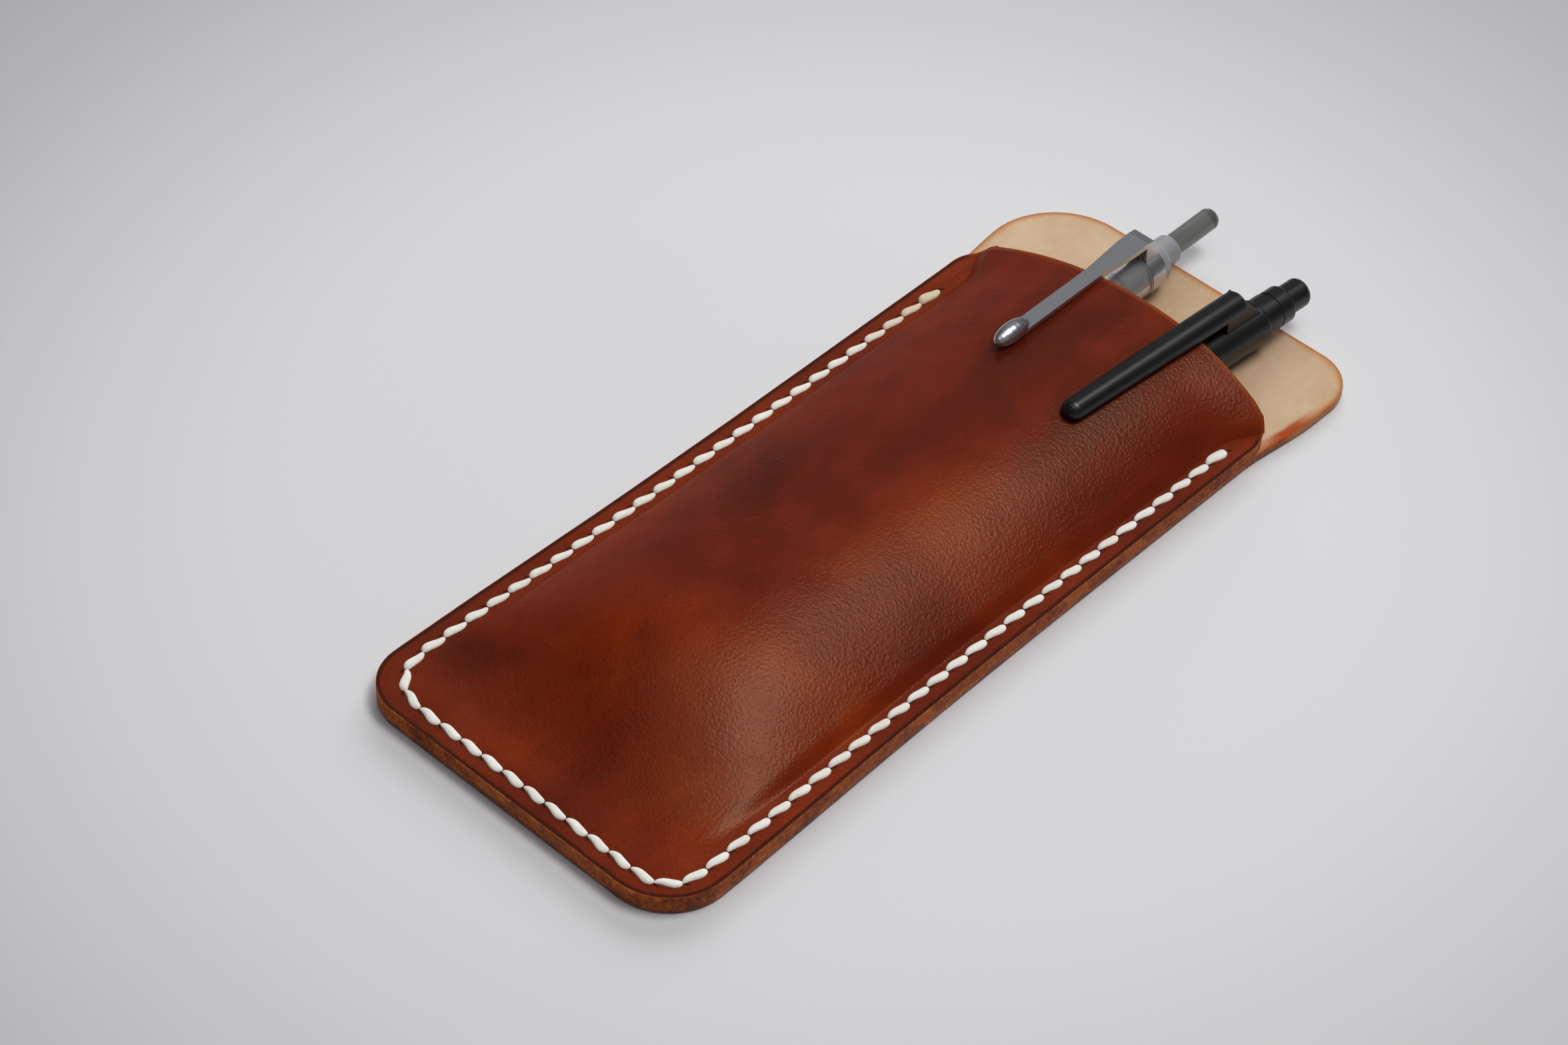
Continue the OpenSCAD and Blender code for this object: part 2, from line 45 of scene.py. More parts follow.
# Sizes of the leather, in millimetres, as the frame has them. Y runs from the closed end here.
SLEEVE_W = 64
BACK_L = 153.4
FRONT_L = 133.4
LEATHER_T = 1.7
WAIST, WAIST_L, FLARE_L = 1.4, 41.5, 8
CLOSED_R = {"left": 8.2, "right": 10.5}
FREE_R = {"left": 13.4, "right": 7.8}
MOUTH_R = {"left": 6.3, "right": 6.3}
SEAM_MARGIN = 3
SEAM_HW = SLEEVE_W / 2 - SEAM_MARGIN
PITCH = 4.23
TURN_R = {"left": 7.2, "right": 5.7}
SEAM_STOP = 8.6
THREAD_W, THREAD_T = 1.3, 0.65
FRONT_RIM_R, BACK_RIM_R, BACK_TOP_RIM_R = 0.55, 0.5, 0.14
RIM_STEPS = 4

# Sizes of the pens, and of the room that the front panel leaves round them
PEN_LIFT, ROOF_GAP, CROWN = 0.7, 0.6, 0.4
FOOT_IN, SHOULDER, RISE_Y = 1.5, 0.6, 8.25
SILVER_R, SILVER_X, SILVER_L, SILVER_PAST_MOUTH = 3.9, -6.1, 136.5, 28.8
SILVER_TIP_Y = FRONT_L + SILVER_PAST_MOUTH - SILVER_L
BLACK_R, BLACK_X, BLACK_LEAN, BLACK_IN_POCKET = 3.75, 13.2, math.radians(4), 107.3
BLACK_TIP_Y = FRONT_L - BLACK_IN_POCKET * math.cos(BLACK_LEAN)
BLACK_TIP_X = BLACK_X - BLACK_IN_POCKET * math.sin(BLACK_LEAN)
NOSE_TIP_R, POINT_R = 1.25, 0.25
SILVER_POINT_OUT, BLACK_POINT_OUT = 2.5, 1.6

# Marks of handwork on the leather
PULL_DEPTH, PULL_HW, PULL_REACH, HOLE_SHARE = 0.16, 1.15, 3.5, 0.25
HAND_WAVES, HAND_FADE, HAND_SEED = ((14, 0.12), (6, 0.035)), 6, 3.7
FOOT_SHARE = 0.22
GROOVE_DEPTH, GROOVE_HW, GROOVE_EDGE, GROOVE_PAST = 0.7, 0.55, 0.5, 0.2

# How finely the shapes are divided
GRID_COLS, FRONT_ROWS, BACK_ROWS, EDGE_CROWDING = 140, 260, 290, 0.3
SEAM_SAMPLES, SEAM_NUDGE = 1400, 0.05
STITCH_SEGMENTS, STITCH_RINGS = 14, 18
CREASE_ANGLE = math.radians(45)


def smooth(t):
    """0 to 1 as t goes from 0 to 1, level at both ends."""
    t = min(1.0, max(0.0, t))
    return t * t * (3 - 2 * t)


def half_w(y):
    """Half the sleeve's width. Its sides draw in past the closed end and widen again at the mouth."""
    drawn_in = 1 - math.exp(-((max(0, y - SEAM_MARGIN) / WAIST_L) ** 2))
    return SLEEVE_W / 2 - WAIST * drawn_in * (1 - smooth((y - FRONT_L + FLARE_L) / (2 * FLARE_L)))


def corner_cut(d, r):
    """How far a corner of radius r takes the side in, at distance d from the end."""
    return 0 if d >= r else r - math.sqrt(max(0, r * r - (r - d) ** 2))


def edge_x(y, length, side, end_r):
    """Half the panel's width on one side, with its corners taken off."""
    return half_w(y) - corner_cut(y, CLOSED_R[side]) - corner_cut(length - y, end_r[side])


def rim_distance(x, y, length, end_r):
    """How far in from the cut edge a point of the panel lies."""
    side = "left" if x < 0 else "right"
    in_x = half_w(y) - abs(x)
    far = min(in_x, y, length - y)
    for d, r in ((y, CLOSED_R[side]), (length - y, end_r[side])):
        if in_x < r and d < r:
            far = min(far, r - math.hypot(r - in_x, r - d))
    return max(0.0, far)


def seam_point(s):
    """A point of the seam by its distance along it from the middle of the closed end."""
    side = "left" if s < 0 else "right"
    r, a = TURN_R[side], abs(s)
    flat, arc = SEAM_HW - r, r * math.pi / 2
    if a <= flat:
        x, y = a, 0
    elif a <= flat + arc:
        turn = (a - flat) / r
        x, y = flat + r * math.sin(turn), r * (1 - math.cos(turn))
    else:
        x, y = SEAM_HW, r + a - flat - arc
    y += SEAM_MARGIN
    return math.copysign(1, s) * x * half_w(y) / (SLEEVE_W / 2), y


def stitches(side):
    """How many stitches fit from the middle of the closed end to the seam's stop on this side."""
    r = TURN_R[side]
    run = FRONT_L - SEAM_STOP - SEAM_MARGIN - r + SEAM_HW - r + r * math.pi / 2
    return math.floor(run / PITCH)


LEFT_N, RIGHT_N = stitches("left"), stitches("right")


def black_axis(y):
    """X of the leaning pen's axis."""
    return BLACK_X + (y - FRONT_L) * math.tan(BLACK_LEAN)


PEAK = 2 * max(SILVER_R, BLACK_R) + PEN_LIFT + ROOF_GAP + CROWN


def foot_x(y):
    """Where the arch comes down beside the seam, or near the edge past the seam's end."""
    by_seam = SEAM_HW * half_w(y) / (SLEEVE_W / 2)
    past_seam = smooth((y - FRONT_L + SEAM_STOP) / SEAM_STOP)
    return by_seam + (half_w(y) - by_seam) * past_seam - FOOT_IN


def arch(x, y):
    """The share of its full height that the front panel's inner face has here, over the pens."""
    mid = (SILVER_X + black_axis(y)) / 2
    off, right = abs(x - mid), x >= mid
    span = foot_x(y) + (-mid if right else mid)
    r = BLACK_R if right else SILVER_R
    u = (mid - SILVER_X + SHOULDER * r) / span
    need = (PEN_LIFT + r * (1 + math.sqrt(1 - SHOULDER ** 2)) + ROOF_GAP) / PEAK
    n = max(2, math.log(1 - need) / math.log(u))
    return 0 if off >= span else 1 - (off / span) ** n


def rise_for(x, y, top):
    """The longest rise from the closed end that still clears a pen's top at this point."""
    return (y - RISE_Y) / math.sqrt(-math.log(1 - (PEN_LIFT + top + ROOF_GAP) / PEAK / arch(x, y)))


# The rise clears each nose cone's tip, and each refill's point with its button pressed
RISE_L = min(
    rise_for(SILVER_X, SILVER_TIP_Y, SILVER_R + NOSE_TIP_R),
    rise_for(BLACK_TIP_X, BLACK_TIP_Y, BLACK_R + NOSE_TIP_R),
    rise_for(SILVER_X, SILVER_TIP_Y - SILVER_POINT_OUT, SILVER_R + POINT_R),
    rise_for(BLACK_TIP_X, BLACK_TIP_Y - BLACK_POINT_OUT, BLACK_R + POINT_R))


def inner_rise(x, y):
    """How far the front panel's inner face stands off the back panel. It arches over the pens."""
    return PEAK * (1 - math.exp(-((max(0, y - RISE_Y) / RISE_L) ** 2))) * arch(x, y)


# Finishes


class Val:
    """A value in a finish. Arithmetic on it adds the nodes that work it out."""

    def __init__(self, finish, socket):
        self.finish, self.socket = finish, socket

    def _with(self, operation, a, b=None):
        inputs = {0: a} if b is None else {0: a, 1: b}
        return self.finish.node("Math", {"operation": operation}, inputs)

    def __add__(self, other):
        return self._with("ADD", self, other)

    def __sub__(self, other):
        return self._with("SUBTRACT", self, other)

    def __rsub__(self, other):
        return self._with("SUBTRACT", other, self)

    def __mul__(self, other):
        return self._with("MULTIPLY", self, other)

    __radd__, __rmul__ = __add__, __mul__

    def size(self):
        return self._with("ABSOLUTE", self)

    def share(self):
        return self._with("FRACT", self)


class Finish:
    """A material, built node by node on one Principled surface."""

    def __init__(self, name):
        self.material = bpy.data.materials.new(name)
        self.material.use_nodes = True
        self.tree = self.material.node_tree
        self.surface = self.tree.nodes["Principled BSDF"]

    def node(self, kind, settings=None, inputs=None, out=0):
        made = self.tree.nodes.new("ShaderNode" + kind)
        for key, value in (settings or {}).items():
            if key == "stops":
                for _ in range(len(value) - 2):
                    made.color_ramp.elements.new(0.5)
                for element, (at, colour) in zip(made.color_ramp.elements, value):
                    element.position, element.color = at, (*colour, 1)
            else:
                setattr(made, key, value)
        for key, value in (inputs or {}).items():
            self.put(made.inputs[key], value)
        return Val(self, made.outputs[out])

    def put(self, socket, value):
        if isinstance(value, Val):
            self.tree.links.new(value.socket, socket)
        elif isinstance(value, tuple) and len(value) == 3 and socket.type == "RGBA":
            socket.default_value = (*value, 1)
        else:
            socket.default_value = value

    def place(self, stretch=None):
        at = self.node("TexCoord", out="Object")
        return self.node("Mapping", {}, {"Vector": at, "Scale": stretch}) if stretch else at

    def along(self, axis):
        return self.node("SeparateXYZ", {}, {"Vector": self.place()}, out=axis)

    def attribute(self, name):
        return self.node("Attribute", {"attribute_name": name}, out="Fac")

    def grain(self, scale, detail=2.0, rough=0.5, at=None, twist=0.0, seed=0.0):
        return self.node(
            "TexNoise", {"noise_dimensions": "4D"},
            {"Vector": at or self.place(), "Scale": scale, "Detail": detail, "Roughness": rough,
             "Distortion": twist, "W": seed})

    def pebbles(self, scale):
        return self.node(
            "TexVoronoi", {"feature": "SMOOTH_F1"}, {"Vector": self.place(), "Scale": scale})

    def step(self, value, low, high):
        """0 below low and 1 above high, changing smoothly between. It falls where low is the larger."""
        if low > high:
            return 1 - self.step(value, high, low)
        return self.node(
            "MapRange", {"interpolation_type": "SMOOTHSTEP"},
            {"Value": value, "From Min": low, "From Max": high, "To Min": 0.0, "To Max": 1.0})

    def ramp(self, value, *stops):
        return self.node("ValToRGB", {"stops": stops}, {"Fac": value})

    def mix(self, share, a, b):
        return self.node(
            "Mix", {"data_type": "RGBA"}, {"Factor": share, 6: a, 7: b}, out=2)

    def bump(self, height, distance, under=None):
        inputs = {"Height": height, "Distance": distance, "Strength": 1.0}
        if under:
            inputs["Normal"] = under
        return self.node("Bump", {}, inputs)

    def done(self, **sockets):
        for key, value in sockets.items():
            self.put(self.surface.inputs[key.replace("_", " ")], value)
        return self.material


def srgb(r, g, b):
    """A colour of 0 to 255 as a screen shows it, made linear."""
    return tuple((c / 255 / 12.92) if c <= 10 else ((c / 255 + 0.055) / 1.055) ** 2.4
                 for c in (r, g, b))


# Ramps are rows of a place from 0 to 1 and its colour
DYE = ((0.28, srgb(66, 14, 3)), (0.40, srgb(86, 20, 3)), (0.50, srgb(106, 28, 4)),
       (0.60, srgb(123, 38, 5)), (0.74, srgb(149, 58, 12)))
CUT_EDGE = ((0.34, srgb(74, 24, 5)), (0.44, srgb(124, 50, 9)), (0.53, srgb(166, 76, 16)),
            (0.64, srgb(200, 112, 36)))
NAP = ((0.36, srgb(188, 157, 124)), (0.5, srgb(200, 170, 139)), (0.66, srgb(211, 185, 155)))
WAXED_THREAD = ((0.28, srgb(210, 200, 178)), (0.42, srgb(240, 236, 224)),
                (0.6, srgb(252, 250, 244)))
DYE_SPECK, DARK_ARRIS, MOUTH_ARRIS = srgb(60, 17, 6), srgb(46, 14, 10), srgb(136, 62, 20)
# The second colour here is painted shade for the inside of the slits at the stitch holes.
BY_SEAM, PAINTED_SLIT_SHADE = srgb(80, 24, 7), srgb(34, 10, 4)
STAIN, STAINED_RIM, DYED_RIM, FREE_END = (
    srgb(196, 130, 70), srgb(150, 90, 46), srgb(164, 62, 10), srgb(196, 126, 70))
# The first colour here is painted shade where each stitch dives into its hole.
THREAD_SHADE_AT_HOLES, AGED_THREAD = srgb(170, 140, 104), srgb(206, 182, 128)
LEATHER_GLINT = (1.0, 0.72, 0.46)

# Cloudy places in the dye: middle, half width and half length in millimetres, and change of shade
CLOUDS = (
    (-22, 15, 8, 9, -0.08), (-6, 27, 12, 22, 0.05), (22, 24, 9, 26, 0.05),
    (1, 70, 7, 34, -0.05), (-27, 60, 4, 60, 0.05), (27, 70, 3.5, 60, 0.06),
    (10, 118, 30, 22, -0.05), (-12, 6, 18, 4, 0.05), (-6, 96, 24, 62, -0.07),
    (3, 104, 12, 44, -0.05), (-13, 58, 13, 44, -0.05))
DYED_RIM_PATCH = (31.5, 136, 8, 7)

# Texture scales count cells in a metre, and bump heights are in metres
PEBBLE_SCALE, PORE_SCALE, WRINKLE_SCALE = 2300, 4200, 520
FRONT_BUMP, SEAM_BUMP, BACK_BUMP = 0.00011, 0.00025, 0.00009
THREAD_BUMP, METAL_BUMP = 0.00014, 0.000004
SLIT_SLANT, MOUTH_END = 0.26, (FRONT_L - BACK_L / 2) * MM


def patch(f, x, y, wide, long):
    """1 at a place on the sleeve, in millimetres, falling to 0 over a ragged oval round it."""
    reach = f.node("Mapping", {"vector_type": "POINT"}, {
        "Vector": f.place(), "Location": (-x / wide, -(y - BACK_L / 2) / long, 0.0),
        "Scale": (1000 / wide, 1000 / long, 0.0)})
    far = f.node("VectorMath", {"operation": "LENGTH"}, {0: reach}, out="Value")
    return f.step(far + f.grain(70, detail=4, rough=0.6, seed=x) * 0.9 - 0.45, 1.15, 0.1)


def dyed_colour(f):
    """Hand-dyed leather: cloudy patches of dark and light reddish brown, with fine specks."""
    clouds = f.grain(38, detail=4, rough=0.55, twist=0.7, seed=1.3)
    streaks = f.grain(34, detail=5, rough=0.62, at=f.place((1.0, 0.35, 1.0)), twist=1.1, seed=4.1)
    shade = clouds * 0.5 + streaks * 0.5
    for x, y, wide, long, by in CLOUDS:
        shade = shade + patch(f, x, y, wide, long) * by
    specks = f.step(f.grain(1100, detail=2, rough=0.6, seed=2.2), 0.60, 0.74)
    return f.mix(specks * 0.3, f.ramp(shade, *DYE), DYE_SPECK)


def dyed_grain(f):
    """The grain side's height: fine pebbles, pores and shallow wrinkles."""
    pebble = f.pebbles(PEBBLE_SCALE)
    fine = f.grain(PORE_SCALE, detail=3, rough=0.6)
    wrinkle = f.grain(
        WRINKLE_SCALE, detail=4, rough=0.6, at=f.place((1.0, 0.75, 1.0)), twist=0.5, seed=7.0)
    return pebble * 0.5 + fine * 0.3 + wrinkle * 0.13


def slits(f):
    """1 in the pressed slanted slits at the stitch holes."""
    off = f.attribute("seam_off")
    along = f.attribute("seam_at")
    lean = (along + off * SLIT_SLANT + 0.5).share() - 0.5
    middle, half = (RIGHT_N - LEFT_N) / 2, (RIGHT_N + LEFT_N) / 2
    row = f.step((along - middle).size(), half + 0.4, half + 0.2)
    return f.step(lean.size(), 0.09, 0.03) * f.step(off.size(), 0.75, 0.4) * row


def worn_edge(f, seed):
    """A cut edge rubbed smooth: mottled orange brown, darker low down."""
    mottle = f.grain(210, detail=4, rough=0.6, twist=0.4, seed=seed)
    fleck = f.grain(1500, detail=4, rough=0.65, seed=seed + 3)
    low = f.step(f.along("Z"), 1.1 * MM, 0.1 * MM)
    return f.ramp(mottle * 0.5 + fleck * 0.5 - low * 0.07, *CUT_EDGE)


def front_finish():
    """The dyed grain side, with a dark rubbed rim, slits at the stitch holes darkened with painted
    shade, and a worn cut edge.
    """
    f = Finish("front leather")
    rim = f.attribute("rim")
    off = f.attribute("seam_off").size()
    mouth = f.step(f.along("Y"), MOUTH_END - 4 * MM, MOUTH_END - 1 * MM)
    uneven = f.grain(260, detail=3, rough=0.6, seed=12.0) * 0.4 - 0.2
    arris = f.step(rim + uneven, 0.85, 0.5)
    cut = f.step(rim + uneven * 0.2, 0.16, 0.03)
    hole = slits(f)
    near_seam = f.step(off, 2.0, 0.6)
    colour = f.mix(arris * (1 - mouth) * 0.9, dyed_colour(f), DARK_ARRIS)
    colour = f.mix(arris * mouth * 0.6, colour, MOUTH_ARRIS)
    colour = f.mix(near_seam * 0.2, colour, BY_SEAM)
    # Painted shade: the slits are coloured dark for the shade inside them.
    colour = f.mix(hole * 0.7, colour, PAINTED_SLIT_SHADE)
    colour = f.mix(cut, colour, worn_edge(f, 3.0))
    normal = f.bump(dyed_grain(f), FRONT_BUMP)
    normal = f.bump(hole * -1.0 - near_seam * 0.25, SEAM_BUMP, normal)
    dull_left = f.step(f.along("X"), -6 * MM, -20 * MM)
    worn = f.grain(80, detail=4, rough=0.55, seed=9.0)
    rough = worn * 0.2 + 0.24 + cut * 0.25 + dull_left * 0.22
    return f.done(
        Base_Color=colour, Roughness=rough, Normal=normal, Specular_IOR_Level=0.3,
        Specular_Tint=LEATHER_GLINT)


def back_finish():
    """The bare flesh side, stained at its rim. The outside and the edge are dyed."""
    f = Finish("back leather")
    rim = f.attribute("rim")
    high = f.along("Z")
    flesh = f.step(high, (LEATHER_T - 0.45) * MM, (LEATHER_T - 0.2) * MM) * f.step(rim, 0.02, 0.14)
    fibre = f.grain(620, detail=5, rough=0.65, at=f.place((1.0, 0.45, 1.0)), twist=0.5, seed=5.0)
    cloud = f.grain(50, detail=3, rough=0.5, seed=6.0)
    nap = f.ramp(fibre * 0.25 + cloud * 0.75, *NAP)
    stain_reach = f.grain(150, detail=4, rough=0.65, seed=8.0) * 2.4 - 0.35
    stain = f.step(rim - stain_reach, 0.75, -0.6)
    inside = f.mix(stain * 0.65, nap, STAIN)
    inside = f.mix(f.step(rim, 0.85, 0.1) * 0.6, inside, STAINED_RIM)
    ragged = rim + f.grain(300, detail=3, rough=0.6) * 0.8
    dyed_rim = patch(f, *DYED_RIM_PATCH) * f.step(ragged, 2.4, 1.5)
    inside = f.mix(dyed_rim * 0.95, inside, DYED_RIM)
    free = f.step(f.along("Y"), MOUTH_END, MOUTH_END + 4 * MM)
    outside = f.mix(f.step(rim, 0.5, 0.25), dyed_colour(f), worn_edge(f, 3.6))
    outside = f.mix(free * 0.6, outside, FREE_END)
    colour = f.mix(flesh, outside, inside)
    height = f.mix(flesh, dyed_grain(f), fibre * 1.3)
    rough = flesh * 0.42 + 0.42
    return f.done(
        Base_Color=colour, Roughness=rough, Normal=f.bump(height, BACK_BUMP),
        Specular_IOR_Level=0.28)


def thread_finish():
    """Flat waxed thread: fibres along each stitch, faint soil, painted shade at each stitch's ends where
    it dives into the holes, and older thread at one end.
    """
    f = Finish("waxed thread")
    across = f.attribute("across")
    along = f.attribute("along")
    aged = f.attribute("aged")
    strand = f.node("CombineXYZ", {}, {"X": across * 3.4 + along * 0.9, "Y": along * 0.5, "Z": 0.0})
    fibre = f.grain(1.6, detail=4, rough=0.6, at=strand)
    soil = f.grain(160, detail=3, rough=0.5, seed=2.0)
    colour = f.ramp(fibre * 0.6 + soil * 0.4, *WAXED_THREAD)
    # Painted shade: each stitch darkens towards its ends, where it dives into the holes.
    end = f.step(along.size(), 0.75, 1.02)
    colour = f.mix(end * 0.45, colour, THREAD_SHADE_AT_HOLES)
    colour = f.mix(aged * 0.7, colour, AGED_THREAD)
    return f.done(
        Base_Color=colour, Roughness=0.5, Normal=f.bump(fibre, THREAD_BUMP), Sheen_Weight=0.1)


def metal_finish(name, colour, rough, streak=0.0):
    """Metal with faint lines along the pen."""
    f = Finish(name)
    lines = f.grain(2600, detail=3, rough=0.6, at=f.place((1.0, 0.05, 1.0)))
    cloud = f.grain(180, detail=3, rough=0.5)
    return f.done(
        Base_Color=f.mix(cloud, colour, tuple(c * 0.86 for c in colour)), Metallic=1.0,
        Roughness=cloud * 0.08 + rough + lines * streak, Normal=f.bump(lines, METAL_BUMP))


def plastic_finish(name, colour, rough, see_through=0.0, texture=0.0):
    """Moulded plastic or rubber, with a fine texture or see-through."""
    f = Finish(name)
    cloud = f.grain(140, detail=3, rough=0.5, seed=1.0)
    fine = f.grain(2400, detail=3, rough=0.6)
    sockets = dict(
        Base_Color=f.mix(cloud * 0.5, colour, tuple(c * 0.8 for c in colour)),
        Roughness=cloud * 0.06 + rough + fine * texture,
        Normal=f.bump(fine, METAL_BUMP * (1 + texture * 10)))
    if see_through:
        sockets["Transmission_Weight"] = see_through
        sockets["IOR"] = 1.46
    return f.done(**sockets)


# Making pieces


def start_clean():
    """Object mode with nothing selected."""
    if bpy.context.object and bpy.context.object.mode != "OBJECT":
        bpy.ops.object.mode_set(mode="OBJECT")
    bpy.ops.object.select_all(action="DESELECT")


def finish_piece(piece, name, body, finish, stands_for):
    """Names a new piece, gives it its finish and body, and hides the CAD nodes it stands for."""
    piece.name = name
    piece.data.materials.clear()
    piece.data.materials.append(finish)
    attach(piece, body)
    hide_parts(*stands_for)
    return piece


def point_attribute(mesh, name, values):
    made = mesh.attributes.new(name, "FLOAT", "POINT")
    made.data.foreach_set("value", values)


def apply_modifier(piece, kind, **settings):
    modifier = piece.modifiers.new(kind.title(), kind)
    for key, value in settings.items():
        setattr(modifier, key, value)
    bpy.ops.object.modifier_apply(modifier=modifier.name)


def seam_tree():
    """Points along the seam, from half a stitch before it to half a stitch past it."""
    span = (LEFT_N + RIGHT_N + 1) * PITCH
    start = -(LEFT_N + 0.5) * PITCH
    tree = kdtree.KDTree(SEAM_SAMPLES + 1)
    for i in range(SEAM_SAMPLES + 1):
        tree.insert((*seam_point(start + span * i / SEAM_SAMPLES), 0), i)
    tree.balance()
    return tree, start, span / SEAM_SAMPLES


SEAM_TREE, SEAM_START, SEAM_STEP = seam_tree()


def seam_place(x, y):
    """(distance off the seam, to the left of its run, and place along it in stitches)."""
    at, i, d = SEAM_TREE.find((x, y, 0))
    s = SEAM_START + i * SEAM_STEP
    ahead = (Vector(seam_point(s + SEAM_NUDGE)) - Vector(seam_point(s - SEAM_NUDGE))).normalized()
    to = Vector((x - at.x, y - at.y))
    return math.copysign(d, ahead.x * to.y - ahead.y * to.x), (s + to.dot(ahead)) / PITCH


def edge_shares(count, span, rim_r):
    """Places from -1 to 1 across a panel. The outermost ones follow the arc that rounds its rim."""
    arc = [2 * rim_r / span * (1 - math.cos(math.pi / 2 * i / RIM_STEPS)) for i in range(RIM_STEPS)]
    inner = count - 2 * RIM_STEPS
    middle = []
    for i in range(inner + 1):
        t = 2 * i / inner - 1
        crowded = math.sin(math.pi / 2 * t) * EDGE_CROWDING + (1 - EDGE_CROWDING) * t
        middle.append(crowded * (1 - 2 * rim_r / span))
    return [a - 1 for a in arc] + middle + [1 - a for a in reversed(arc)]


def rounded_off(d, r):
    """How far the arc of a rounded edge lies below the face, at a distance in from the rim."""
    return r - math.sqrt(max(0.0, r * r - (r - d) ** 2)) if d < r else 0.0


def leather_grid(length, end_r, rows, rim_r, level):
    """A fine sheet over a panel's outline. Points know their distance from the edge and the seam."""
    start_clean()
    bpy.ops.mesh.primitive_grid_add(x_subdivisions=GRID_COLS, y_subdivisions=rows, size=2)
    piece = bpy.context.object
    piece.name = "leather"
    across, down = edge_shares(GRID_COLS, SLEEVE_W, rim_r), edge_shares(rows, length, rim_r)
    rims, offs, ats = [], [], []
    for v in piece.data.vertices:
        u = across[round((v.co.x + 1) / 2 * GRID_COLS)]
        y = length * (down[round((v.co.y + 1) / 2 * rows)] + 1) / 2
        side = "left" if u < 0 else "right"
        x = u * edge_x(y, length, side, end_r)
        off, at = seam_place(x, y)
        v.co = (x * MM, (y - BACK_L / 2) * MM, level(x, y) * MM)
        rims.append(rim_distance(x, y, length, end_r))
        offs.append(off)
        ats.append(at)
    point_attribute(piece.data, "rim", rims)
    point_attribute(piece.data, "seam_off", offs)
    point_attribute(piece.data, "seam_at", ats)
    return piece


def pull(off, at):
    """How deep the stitches pull the leather in, most at the holes."""
    if abs(off) > PULL_REACH:
        return 0.0
    by_hole = 1 - HOLE_SHARE + HOLE_SHARE * math.cos(2 * math.pi * at)
    return PULL_DEPTH * math.exp(-((off / PULL_HW) ** 2)) * by_hole


def hand(x, y):
    """The slight unevenness of hand-worked leather."""
    return sum(
        depth * noise.noise(Vector((x / size, y / size, HAND_SEED))) for size, depth in HAND_WAVES)


def front_leather(finish):
    """The front panel: moulded over the pens, rounded at its rim and drawn in by the stitches."""
    def level(x, y):
        inside = min(1.0, rim_distance(x, y, FRONT_L, MOUTH_R) / HAND_FADE)
        rise = inner_rise(x, y) * smooth(arch(x, y) / FOOT_SHARE)
        return LEATHER_T + rise + hand(x, y) * inside

    piece = leather_grid(FRONT_L, MOUTH_R, FRONT_ROWS, FRONT_RIM_R, level)
    apply_modifier(piece, "SOLIDIFY", thickness=LEATHER_T * MM, offset=1.0, use_even_offset=True)
    mesh = piece.data
    rim, off, at = (mesh.attributes[name].data for name in ("rim", "seam_off", "seam_at"))
    outer_face = range(len(mesh.vertices) // 2, len(mesh.vertices))
    for i in outer_face:
        drop = pull(off[i].value, at[i].value) + rounded_off(rim[i].value, FRONT_RIM_R)
        mesh.vertices[i].co.z -= drop * MM
    bpy.ops.object.shade_smooth_by_angle(angle=CREASE_ANGLE)
    return finish_piece(piece, "front_leather", "sleeve", finish, ("front_panel",))


def back_leather(finish):
    """The back panel: flat, with a groove underneath in which the thread lies."""
    piece = leather_grid(BACK_L, FREE_R, BACK_ROWS, BACK_RIM_R, lambda x, y: LEATHER_T)
    apply_modifier(piece, "SOLIDIFY", thickness=LEATHER_T * MM, offset=-1.0, use_even_offset=True)
    mesh = piece.data
    rim, off, at = (mesh.attributes[name].data for name in ("rim", "seam_off", "seam_at"))
    for v in mesh.vertices:
        far_in, o, a = rim[v.index].value, off[v.index].value, at[v.index].value
        if v.co.z > LEATHER_T * MM / 2:
            v.co.z -= rounded_off(far_in, BACK_TOP_RIM_R) * MM
            continue
        by_thread = -LEFT_N - GROOVE_PAST < a < RIGHT_N + GROOVE_PAST
        groove = GROOVE_DEPTH * (1 - smooth((abs(o) - GROOVE_HW) / GROOVE_EDGE)) if by_thread else 0.0
        v.co.z += (groove + rounded_off(far_in, BACK_RIM_R)) * MM
    bpy.ops.object.shade_smooth_by_angle(angle=CREASE_ANGLE)
    return finish_piece(piece, "back_leather", "sleeve", finish, ("back_panel",))


def one_stitch():
    """A ball to be drawn out into a stitch, and each point's place on it: along, across and up."""
    start_clean()
    bpy.ops.mesh.primitive_uv_sphere_add(
        segments=STITCH_SEGMENTS, ring_count=STITCH_RINGS, radius=1)
    bpy.ops.object.mode_set(mode="EDIT")
    bpy.ops.mesh.select_all(action="SELECT")
    bpy.ops.transform.rotate(value=math.pi / 2, orient_axis="Y", center_override=(0, 0, 0))
    bpy.ops.object.mode_set(mode="OBJECT")
    piece = bpy.context.object
    bpy.ops.object.shade_smooth()
    points = []
    for v in piece.data.vertices:
        t = max(-1.0, min(1.0, v.co.x))
        ring = math.sqrt(max(0.0, 1 - t * t))
        c, s = (v.co.y / ring, v.co.z / ring) if ring > 1e-4 else (0.0, 0.0)
        points.append((t, c, s))
    return piece, points


